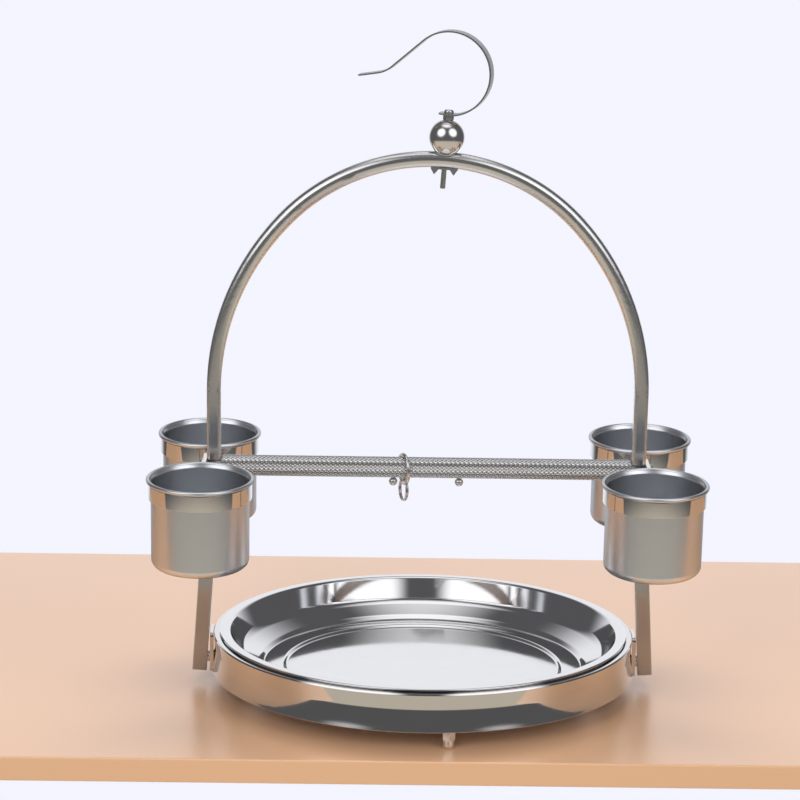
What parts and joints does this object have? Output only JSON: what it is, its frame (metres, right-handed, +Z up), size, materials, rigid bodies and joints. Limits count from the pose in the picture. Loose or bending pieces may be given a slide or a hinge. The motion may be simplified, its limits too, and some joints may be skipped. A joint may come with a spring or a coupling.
{
  "type": "bird perch stand",
  "caption": "Table-top or hanging stand for a pet bird: a knurled perch under a hoop, food cups in band rings, a lift-out tray on a footed ring, and a hook to hang it by.",
  "frame": {"origin": "on the table under the tray ring's centre", "axes": "+X along the perch to the right, +Y to the back, +Z up"},
  "size_m": [0.4147, 0.3224, 0.5044],
  "materials": {
    "mirror_steel": "mirror-polished stainless steel",
    "satin_steel": "satin spun stainless steel",
    "knurled_steel": "diamond-knurled stainless steel",
    "fastener_steel": "bright plain steel"
  },
  "bodies": {
    "base": {"tray_ring": "mirror_steel", "side_tab_left": "mirror_steel", "side_tab_right": "mirror_steel", "foot_lug_front": "satin_steel", "foot_lug_back_right": "satin_steel", "foot_lug_back_left": "satin_steel", "foot_stud_front": "fastener_steel", "foot_stud_back_right": "fastener_steel", "foot_stud_back_left": "fastener_steel", "foot_cap_front": "fastener_steel", "foot_cap_back_right": "fastener_steel", "foot_cap_back_left": "fastener_steel"},
    "tray": {"drop_in_tray": "mirror_steel"},
    "frame": {"lower_leg_left": "mirror_steel", "lower_leg_right": "mirror_steel", "pivot_pin_left": "fastener_steel", "pivot_pin_right": "fastener_steel", "pivot_spacer_left": "fastener_steel", "pivot_spacer_right": "fastener_steel", "hoop": "mirror_steel", "leg_joiner_left": "satin_steel", "leg_joiner_right": "satin_steel", "perch_bar": "knurled_steel", "perch_bolt_left": "fastener_steel", "perch_bolt_right": "fastener_steel", "cup_strip_left": "mirror_steel", "cup_strip_right": "mirror_steel", "cup_band_front_left": "mirror_steel", "cup_band_front_right": "mirror_steel", "cup_band_back_left": "mirror_steel", "cup_band_back_right": "mirror_steel", "stop_ball_left": "fastener_steel", "stop_ball_right": "fastener_steel", "finial_screw": "fastener_steel", "finial_ball": "mirror_steel", "hook_nut": "fastener_steel", "wing_nut": "fastener_steel"},
    "front_left_cup": {"cup_front_left": "satin_steel"},
    "front_right_cup": {"cup_front_right": "satin_steel"},
    "back_left_cup": {"cup_back_left": "satin_steel"},
    "back_right_cup": {"cup_back_right": "satin_steel"},
    "ring_for_leash": {"leash_ring": "fastener_steel"},
    "split_link": {"leash_link": "fastener_steel"},
    "hook": {"hook_strip": "satin_steel"}
  },
  "joints": [
    {"name": "frame_tilt", "type": "hinge", "parent": "base", "child": "frame", "pos_m": [0, 0, 0.0196], "axis": [1, 0, 0], "range_deg": [-30, 25]},
    {"name": "tray_lift", "type": "slide", "parent": "base", "child": "tray", "axis": [0, 0, 1], "range_m": [0, 0.05]},
    {"name": "cup_lift_front_left", "type": "slide", "parent": "frame", "child": "front_left_cup", "axis": [0, -0.0698, 0.9976], "range_m": [0, 0.07]},
    {"name": "cup_lift_front_right", "type": "slide", "parent": "frame", "child": "front_right_cup", "axis": [0, -0.0698, 0.9976], "range_m": [0, 0.07]},
    {"name": "cup_lift_back_left", "type": "slide", "parent": "frame", "child": "back_left_cup", "axis": [0, -0.0698, 0.9976], "range_m": [0, 0.07]},
    {"name": "cup_lift_back_right", "type": "slide", "parent": "frame", "child": "back_right_cup", "axis": [0, -0.0698, 0.9976], "range_m": [0, 0.07]},
    {"name": "leash_slide", "type": "slide", "parent": "frame", "child": "ring_for_leash", "axis": [1, 0, 0], "range_m": [0, 0.033]},
    {"name": "link_swing", "type": "hinge", "parent": "ring_for_leash", "child": "split_link", "pos_m": [-0.017, -0.00991, 0.16125], "axis": [0.309, -0.9487, -0.0663], "range_deg": [-15, 15]},
    {"name": "hook_swivel", "type": "hinge", "parent": "frame", "child": "hook", "pos_m": [0.00907, -0.02726, 0.40947], "axis": [0.061, -0.0696, 0.9957], "continuous": true}
  ]
}
